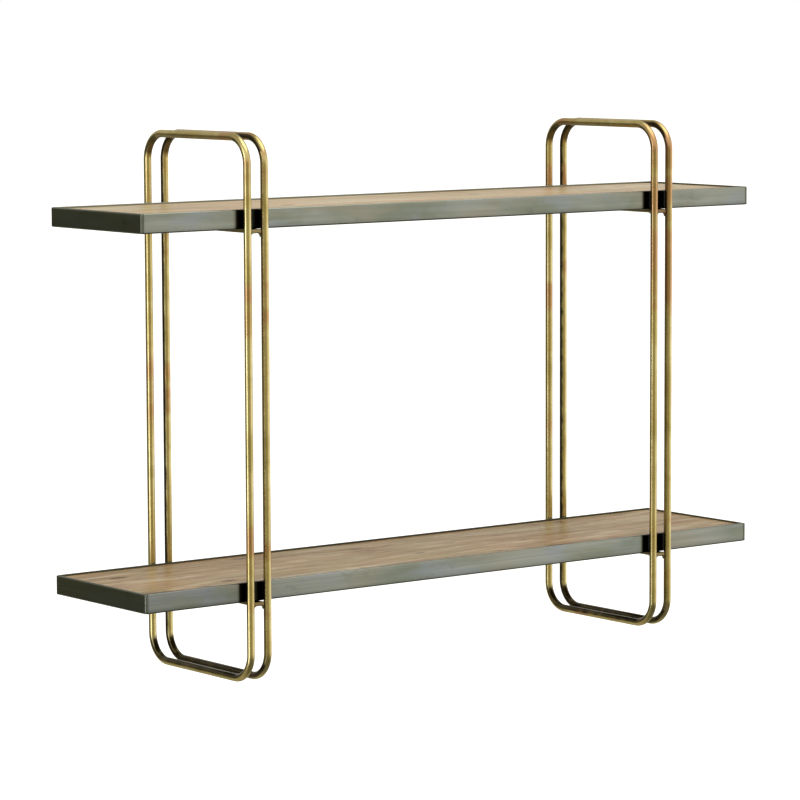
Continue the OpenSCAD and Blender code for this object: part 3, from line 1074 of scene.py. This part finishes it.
# The light from above and from below, at the front and at the wall
SKY_FRONT = (0.95, 0.95, 0.92, 1)
SKY_BACK = (0.52, 0.51, 0.46, 1)
LOW_FRONT = (0.15, 0.15, 0.12, 1)
LOW_BACK = (0.42, 0.41, 0.32, 1)


def make_studio():
    """The studio round the softboxes: bright walls at the right and dim ones elsewhere.
    The camera itself sees plain white."""
    world = bpy.data.worlds.new("studio")
    bpy.context.scene.world = world
    world.use_nodes = True
    s = Nodes(world.node_tree)

    way = s.add("ShaderNodeTexCoord", {}, {}, "Generated")
    x, y, height = s.add("ShaderNodeSeparateXYZ", {}, {0: way}).node.outputs
    bearing = s.maths("ARCTAN2", x, s.maths("MULTIPLY", y, -1.0))
    turn = s.maths("ADD", s.maths("DIVIDE", bearing, 2 * math.pi), 0.5)
    around = s.add("ShaderNodeValToRGB", {}, {0: turn})
    ramp = around.node.color_ramp
    while len(ramp.elements) < len(AROUND):
        ramp.elements.new(0.5)
    for element, (degrees, strength, (green, blue)) in zip(ramp.elements, AROUND):
        element.position = degrees / 360 + 0.5
        level = strength / BRIGHTEST
        element.color = (level, level * green, level * blue, 1)
    around = s.add("ShaderNodeVectorMath", {"operation": "SCALE"}, {0: around, "Scale": BRIGHTEST})

    low = s.mix(s.fit(y, -0.30, 0.50), LOW_FRONT, LOW_BACK)
    high = s.mix(s.fit(y, -0.40, 0.30), SKY_FRONT, SKY_BACK)
    light = s.mix(s.fit(height, 0.00, 0.35), around, high)
    light = s.mix(s.fit(height, -0.12, -0.50), light, low)

    seen = s.add("ShaderNodeLightPath", {}, {}, "Is Camera Ray")
    light = s.mix(seen, light, WHITE)
    s.output("ShaderNodeOutputWorld", s.add("ShaderNodeBackground", {}, {"Color": light}))


def make_softbox(name, at, toward, size, radiance, tint=(1, 1, 1)):
    """Rectangular light of a size and brightness, at a place and aimed at another."""
    light = bpy.data.lights.new(name, "AREA")
    light.shape = "RECTANGLE"
    light.size, light.size_y = size
    light.energy = radiance * math.pi * size[0] * size[1]
    light.color = tint
    obj = bpy.data.objects.new(name, light)
    bpy.context.scene.collection.objects.link(obj)
    obj.location = at
    obj.rotation_mode = "QUATERNION"
    obj.rotation_quaternion = (Vector(toward) - Vector(at)).to_track_quat("-Z", "Y")
    obj.visible_camera = False


# The camera: its bearing from +Y towards +X, its tilt and roll, its distance from the
# object's middle, how far that middle is right of and above the centre of the view, and
# its lens and sensor in millimetres
VIEW_TURN = math.radians(37.64)
VIEW_TILT = math.radians(-6.11)
VIEW_ROLL = math.radians(-0.23)
VIEW_DISTANCE = 4.937
VIEW_OFFSET = (0.0207, 0.0184)
LENS = 168.0
SENSOR_W = 36.0


def make_camera():
    forward = Vector((math.sin(VIEW_TURN) * math.cos(VIEW_TILT),
                      math.cos(VIEW_TURN) * math.cos(VIEW_TILT), math.sin(VIEW_TILT)))
    level = Vector((math.cos(VIEW_TURN), -math.sin(VIEW_TURN), 0))
    above = level.cross(forward)
    right = level * math.cos(VIEW_ROLL) + above * math.sin(VIEW_ROLL)
    up = above * math.cos(VIEW_ROLL) - level * math.sin(VIEW_ROLL)
    centre = (cad_low + cad_high) / 2
    at = centre - forward * VIEW_DISTANCE - level * VIEW_OFFSET[0] - above * VIEW_OFFSET[1]

    data = bpy.data.cameras.new("camera")
    data.sensor_width = SENSOR_W
    data.lens = LENS
    data.clip_start, data.clip_end = 0.1, 200
    camera = bpy.data.objects.new("camera", data)
    bpy.context.scene.collection.objects.link(camera)
    turned = Matrix((right, up, -forward)).transposed().to_4x4()
    camera.matrix_world = Matrix.Translation(at) @ turned
    bpy.context.scene.camera = camera


make_floor()
make_studio()
make_softbox("left_softbox", at=(-1.35, -0.20, -0.2), toward=(0, -0.20, -0.2),
             size=(0.46, 1.7), radiance=2.45, tint=(0.94, 1.0, 1.1))
make_softbox("top_softbox", at=(0.5, -0.8, 2.4), toward=(0, -0.1, 0),
             size=(3.0, 2.4), radiance=1.4)
make_camera()
bpy.context.scene.view_settings.view_transform = "Standard"
